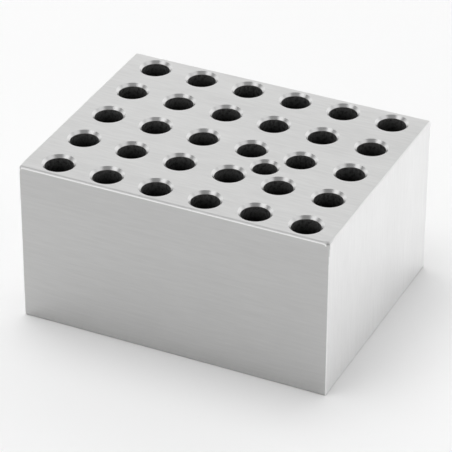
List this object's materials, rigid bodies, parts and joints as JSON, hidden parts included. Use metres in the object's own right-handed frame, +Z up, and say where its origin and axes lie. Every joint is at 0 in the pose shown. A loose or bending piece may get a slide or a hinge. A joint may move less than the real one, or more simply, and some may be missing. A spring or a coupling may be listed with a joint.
{
  "type": "heating block",
  "caption": "Rectangular machined aluminium block with a grid of countersunk wells that hold and heat small sample tubes, and a smaller well for a temperature probe.",
  "frame": {"origin": "middle of the underside, which rests on the heater plate", "axes": "+X along the longest side, +Y along the other side, away from the probe well's side, +Z up, out of the wells"},
  "size_m": [0.095, 0.0732, 0.0501],
  "materials": {
    "machined_aluminium": "satin"
  },
  "bodies": {
    "root": {"heating_block": "machined_aluminium"}
  },
  "joints": []
}
